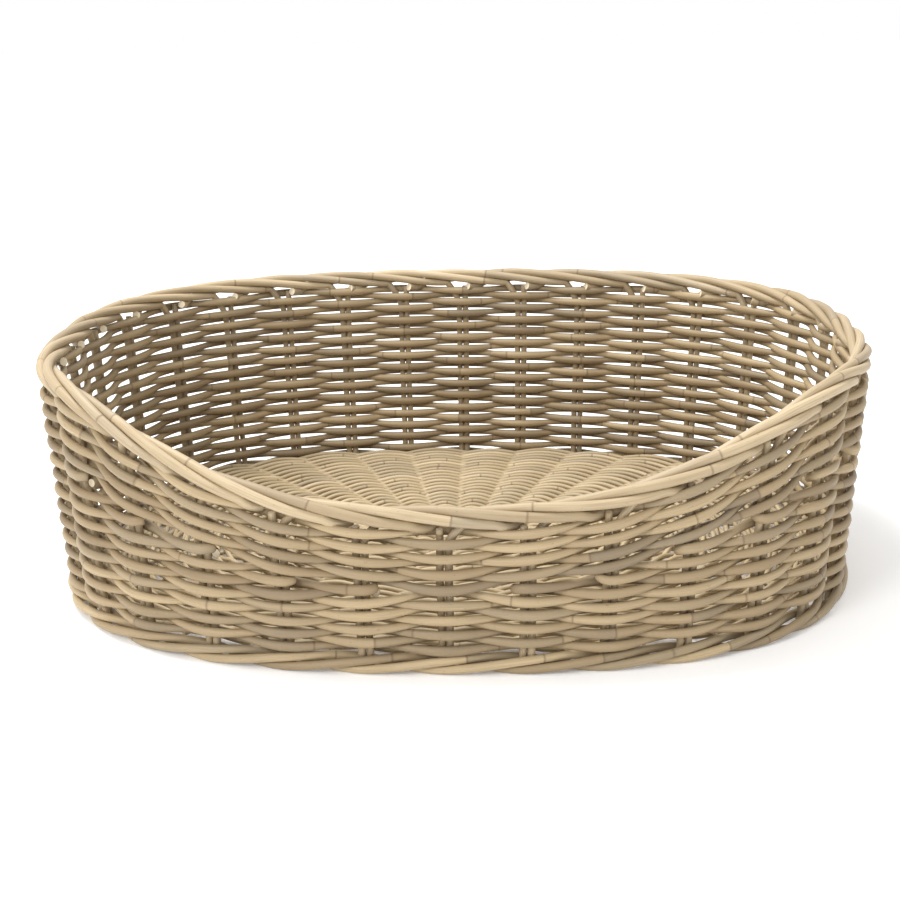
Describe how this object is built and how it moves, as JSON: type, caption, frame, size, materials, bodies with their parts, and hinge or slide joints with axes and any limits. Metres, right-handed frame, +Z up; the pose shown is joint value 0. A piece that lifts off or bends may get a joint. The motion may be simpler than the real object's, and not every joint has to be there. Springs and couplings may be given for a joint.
{
  "type": "wicker pet bed basket",
  "caption": "Oval pet bed basket of woven rattan: high at the back and sides, a low front to step over, rolled border, waled foot and a woven stick base",
  "frame": {"origin": "the middle of the basket's box, on the surface that it stands on", "axes": "+Z is up, +X runs along the oval's length, and the low front faces -Y"},
  "size_m": [0.8002, 0.6148, 0.2384],
  "materials": {
    "stake_rattan": "natural matte rattan rod",
    "weaver_rattan": "natural satin rattan rod",
    "foot_rattan": "natural satin rattan rod",
    "stick_rattan": "natural matte rattan stick",
    "base_rattan": "natural matte thin rattan weave"
  },
  "bodies": {
    "root": {"stake_pair_01": "stake_rattan", "stake_pair_02": "stake_rattan", "stake_pair_03": "stake_rattan", "stake_pair_04": "stake_rattan", "stake_pair_05": "stake_rattan", "stake_pair_06": "stake_rattan", "stake_pair_07": "stake_rattan", "stake_pair_08": "stake_rattan", "stake_pair_09": "stake_rattan", "stake_pair_10": "stake_rattan", "stake_pair_11": "stake_rattan", "stake_pair_12": "stake_rattan", "stake_pair_13": "stake_rattan", "stake_pair_14": "stake_rattan", "stake_pair_15": "stake_rattan", "stake_pair_16": "stake_rattan", "stake_pair_17": "stake_rattan", "stake_pair_18": "stake_rattan", "stake_pair_19": "stake_rattan", "stake_pair_20": "stake_rattan", "stake_pair_21": "stake_rattan", "stake_pair_22": "stake_rattan", "stake_pair_23": "stake_rattan", "stake_pair_24": "stake_rattan", "stake_pair_25": "stake_rattan", "stake_pair_26": "stake_rattan", "stake_pair_27": "stake_rattan", "stake_pair_28": "stake_rattan", "stake_pair_29": "stake_rattan", "stake_pair_30": "stake_rattan", "stake_pair_31": "stake_rattan", "stake_pair_32": "stake_rattan", "wall_weaver_01": "weaver_rattan", "wall_weaver_02": "weaver_rattan", "wall_weaver_03": "weaver_rattan", "wall_weaver_04": "weaver_rattan", "wall_weaver_05": "weaver_rattan", "wall_weaver_06": "weaver_rattan", "wall_weaver_07": "weaver_rattan", "wall_weaver_08": "weaver_rattan", "wall_weaver_09": "weaver_rattan", "wall_weaver_10": "weaver_rattan", "wall_weaver_11": "weaver_rattan", "wall_weaver_12": "weaver_rattan", "wall_weaver_13": "weaver_rattan", "wall_weaver_14": "weaver_rattan", "foot_rod_01": "foot_rattan", "foot_rod_02": "foot_rattan", "foot_rod_03": "foot_rattan", "base_long_stick_1": "stick_rattan", "base_long_stick_2": "stick_rattan", "base_long_stick_3": "stick_rattan", "base_cross_stick_1": "stick_rattan", "base_cross_stick_2": "stick_rattan", "base_cross_stick_3": "stick_rattan", "base_cross_stick_4": "stick_rattan", "base_cross_stick_5": "stick_rattan", "base_weave_inner": "base_rattan", "base_weave_outer": "base_rattan"}
  },
  "joints": []
}
